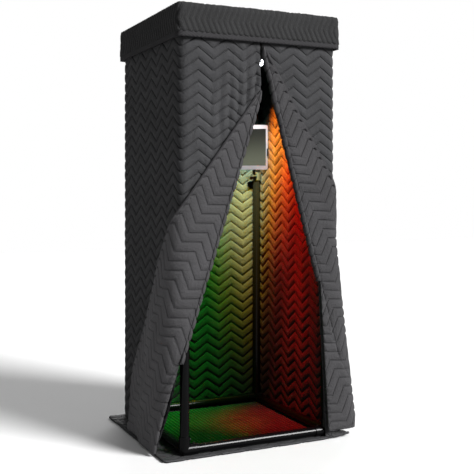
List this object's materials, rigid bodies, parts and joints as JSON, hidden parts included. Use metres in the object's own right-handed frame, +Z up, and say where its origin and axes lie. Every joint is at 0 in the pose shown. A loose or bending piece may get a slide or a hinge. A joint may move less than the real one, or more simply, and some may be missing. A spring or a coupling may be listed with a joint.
{
  "type": "portable soft-walled booth",
  "caption": "Portable booth: a square tube frame hung with quilted walls, two folded-back door flaps, a lift-off roof cover, a ground mat, a clamped tablet and a clip lamp.",
  "frame": {"origin": "on the floor, under the middle of the square tube frame, in the plane of the mat's underside", "axes": "+Z up; -Y out through the door; +X to the right as seen from in front of the door"},
  "size_m": [1.0815, 0.824, 1.99],
  "materials": {
    "frame_tube": "black furniture-grade tube, glossy",
    "frame_fitting": "black moulded slip fitting, glossy",
    "dark_screws": "black pan-head screw",
    "quilt_outer": "charcoal woven quilted cloth, zigzag stitched",
    "quilt_lining": "dark grey woven quilted lining, zigzag stitched",
    "binding": "woven edge binding",
    "ground_mat": "charcoal woven quilted cloth, zigzag stitched",
    "floor_carpet": "dark ribbed needle-felt carpet",
    "webbing": "black hook-and-loop webbing",
    "clamp_plastic": "black moulded plastic",
    "tablet_white": "white glossy moulded plastic",
    "screen_glass": "dark grey display glass",
    "lamp_paint": "black powder coat",
    "lamp_lens": "clear LED lens"
  },
  "bodies": {
    "root": {"ground_mat": "ground_mat", "floor_carpet": "floor_carpet", "bottom_front_rail": "frame_tube", "bottom_rear_rail": "frame_tube", "bottom_left_rail": "frame_tube", "bottom_right_rail": "frame_tube", "top_front_rail": "frame_tube", "top_rear_rail": "frame_tube", "top_left_rail": "frame_tube", "top_right_rail": "frame_tube", "front_left_lower_post": "frame_tube", "front_left_upper_post": "frame_tube", "front_right_lower_post": "frame_tube", "front_right_upper_post": "frame_tube", "rear_left_lower_post": "frame_tube", "rear_left_upper_post": "frame_tube", "rear_right_lower_post": "frame_tube", "rear_right_upper_post": "frame_tube", "front_left_bottom_fitting": "frame_fitting", "front_left_top_fitting": "frame_fitting", "front_right_bottom_fitting": "frame_fitting", "front_right_top_fitting": "frame_fitting", "rear_left_bottom_fitting": "frame_fitting", "rear_left_top_fitting": "frame_fitting", "rear_right_bottom_fitting": "frame_fitting", "rear_right_top_fitting": "frame_fitting", "post_joiners": "frame_tube", "fitting_screws": "dark_screws", "rear_wall": "quilt_outer", "left_wall": "quilt_outer", "right_wall": "quilt_outer", "front_left_panel": "quilt_outer", "front_right_panel": "quilt_outer", "hanging_loops": "webbing", "post_clamp": "clamp_plastic", "clamp_nut": "dark_screws", "holder_arm": "clamp_plastic", "lamp_clip": "clamp_plastic", "lamp_clip_pin": "dark_screws"},
    "roof_cover": {"roof_panel": "quilt_outer", "roof_skirt": "quilt_outer", "roof_hem_band": "binding"},
    "left_flap": {"left_flap": "quilt_lining"},
    "left_flap_tail": {"left_flap_tail": "quilt_lining"},
    "right_flap": {"right_flap": "quilt_lining"},
    "right_flap_tail": {"right_flap_tail": "quilt_lining"},
    "clamp_knob": {"clamp_knob": "clamp_plastic"},
    "ball_socket": {"ball_socket": "clamp_plastic"},
    "holder_back": {"holder_back": "clamp_plastic"},
    "holder_jaw": {"holder_jaw": "clamp_plastic"},
    "tablet": {"tablet_case": "tablet_white", "tablet_bezel": "tablet_white", "tablet_screen": "screen_glass"},
    "tablet_button": {"tablet_button": "tablet_white"},
    "lamp_clip_jaw": {"lamp_clip_jaw": "clamp_plastic"},
    "lamp_arm": {"lamp_arm": "lamp_paint", "lamp_bolt": "dark_screws"},
    "lamp_head": {"lamp_head": "lamp_paint", "lamp_lenses": "lamp_lens"},
    "lamp_switch": {"lamp_switch": "clamp_plastic"}
  },
  "joints": [
    {"name": "roof_lift", "type": "slide", "parent": "root", "child": "roof_cover", "axis": [0, 0, 1], "range_m": [0, 0.25]},
    {"name": "left_flap_fold", "type": "hinge", "parent": "root", "child": "left_flap", "pos_m": [-0.003, -0.4035, 1.631], "axis": [0.3107, 0, 0.9505], "range_deg": [0, 180]},
    {"name": "left_tail_unwrap", "type": "hinge", "parent": "left_flap", "child": "left_flap_tail", "pos_m": [-0.403, -0.408, 0.6], "axis": [0, 0, 1], "range_deg": [0, 81.2]},
    {"name": "right_flap_fold", "type": "hinge", "parent": "root", "child": "right_flap", "pos_m": [0.003, -0.4035, 1.83], "axis": [0.2672, 0, -0.9636], "range_deg": [0, 180]},
    {"name": "right_tail_unwrap", "type": "hinge", "parent": "right_flap", "child": "right_flap_tail", "pos_m": [0.403, -0.408, 0.6], "axis": [0, 0, -1], "range_deg": [0, 70]},
    {"name": "clamp_knob_turn", "type": "hinge", "parent": "root", "child": "clamp_knob", "pos_m": [0.3204, 0.36, 1.239], "axis": [0, -1, 0], "continuous": true},
    {"name": "tablet_tilt", "type": "hinge", "parent": "root", "child": "ball_socket", "pos_m": [0.28865, 0.27497, 1.404], "axis": [0.8988, -0.4384, 0], "range_deg": [-15, 15]},
    {"name": "tablet_roll", "type": "hinge", "parent": "ball_socket", "child": "holder_back", "pos_m": [0.28865, 0.27497, 1.404], "axis": [-0.4384, -0.8988, 0], "range_deg": [-10, 10]},
    {"name": "holder_jaw_open", "type": "slide", "parent": "holder_back", "child": "holder_jaw", "axis": [0.8988, -0.4384, 0], "range_m": [0, 0.012], "stiffness_N_per_m": 300, "springref_m": -0.01},
    {"name": "tablet_lift_out", "type": "slide", "parent": "holder_back", "child": "tablet", "axis": [0, 0, 1], "range_m": [0, 0.15]},
    {"name": "tablet_button_press", "type": "slide", "parent": "tablet", "child": "tablet_button", "axis": [0.4384, 0.8988, 0], "range_m": [0, 0.0004], "stiffness_N_per_m": 400, "springref_m": -0.0004},
    {"name": "lamp_clip_open", "type": "hinge", "parent": "root", "child": "lamp_clip_jaw", "pos_m": [0.3286, 0.15, 1.956], "axis": [0, 1, 0], "range_deg": [0, 20], "stiffness_Nm_per_rad": 0.6, "springref_deg": -11.46},
    {"name": "lamp_swivel", "type": "hinge", "parent": "root", "child": "lamp_arm", "pos_m": [0.2956, 0.15, 1.964], "axis": [0, 0, 1], "range_deg": [-80, 80]},
    {"name": "lamp_tilt", "type": "hinge", "parent": "lamp_arm", "child": "lamp_head", "pos_m": [0.2956, 0.15, 1.864], "axis": [0.848, -0.5299, 0], "range_deg": [-40, 45]},
    {"name": "lamp_switch_press", "type": "slide", "parent": "lamp_head", "child": "lamp_switch", "axis": [0.3546, 0.5675, -0.7431], "range_m": [0, 0.0007], "stiffness_N_per_m": 400, "springref_m": -0.0004}
  ],
  "couplings": [
    {"joint": "left_tail_unwrap", "follows": "left_flap_fold", "ratio": 0.45111},
    {"joint": "right_tail_unwrap", "follows": "right_flap_fold", "ratio": 0.38889}
  ]
}
